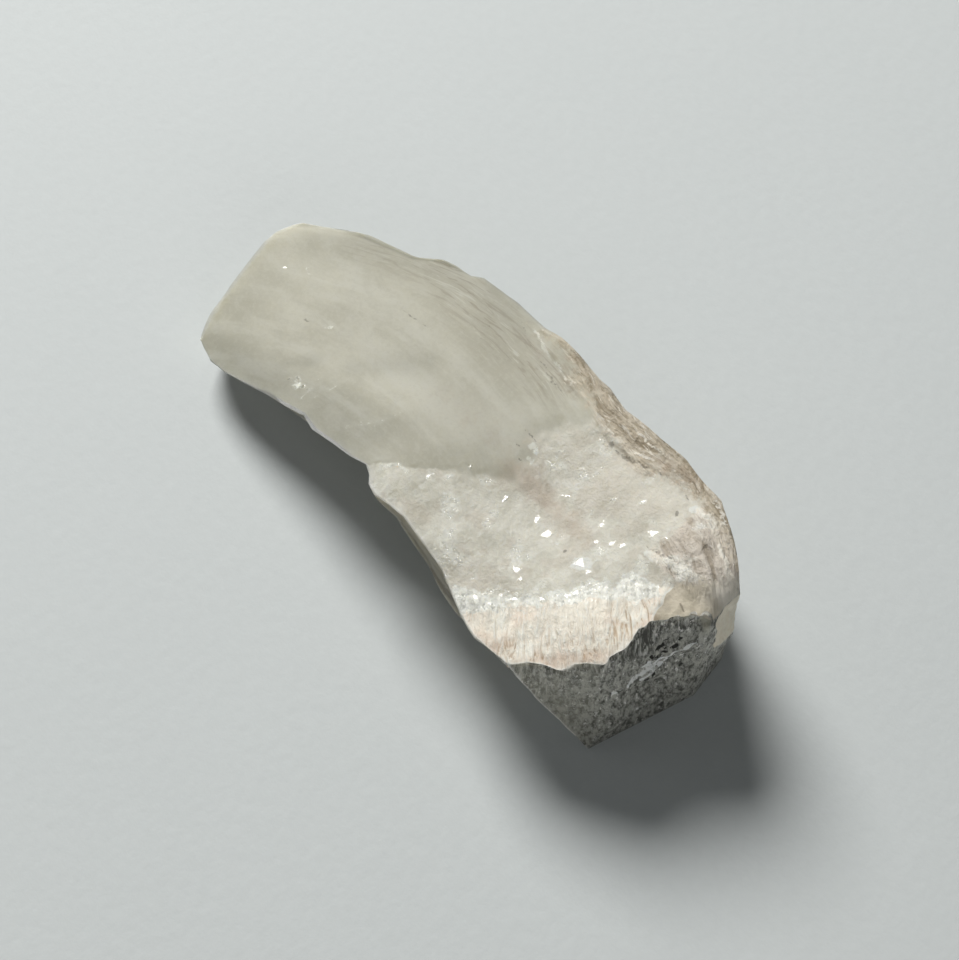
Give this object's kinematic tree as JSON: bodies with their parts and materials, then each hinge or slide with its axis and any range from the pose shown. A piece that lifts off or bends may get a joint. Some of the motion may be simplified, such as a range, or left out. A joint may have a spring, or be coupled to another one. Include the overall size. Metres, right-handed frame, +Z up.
{
  "type": "selenite crystal blade",
  "caption": "Natural selenite blade lying on its flat underside: a clean translucent tip, a stepped sugary middle, a pale fibrous rind and a blunt broken end.",
  "frame": {"origin": "on the surface that the piece lies on, under the middle of its box", "axes": "+X from the thin tip to the thick broken end, +Y to the fibrous far side, +Z up"},
  "size_m": [0.1003, 0.0454, 0.0274],
  "materials": {
    "selenite": "satin"
  },
  "bodies": {
    "root": {"crystal_blade": "selenite"}
  },
  "joints": []
}
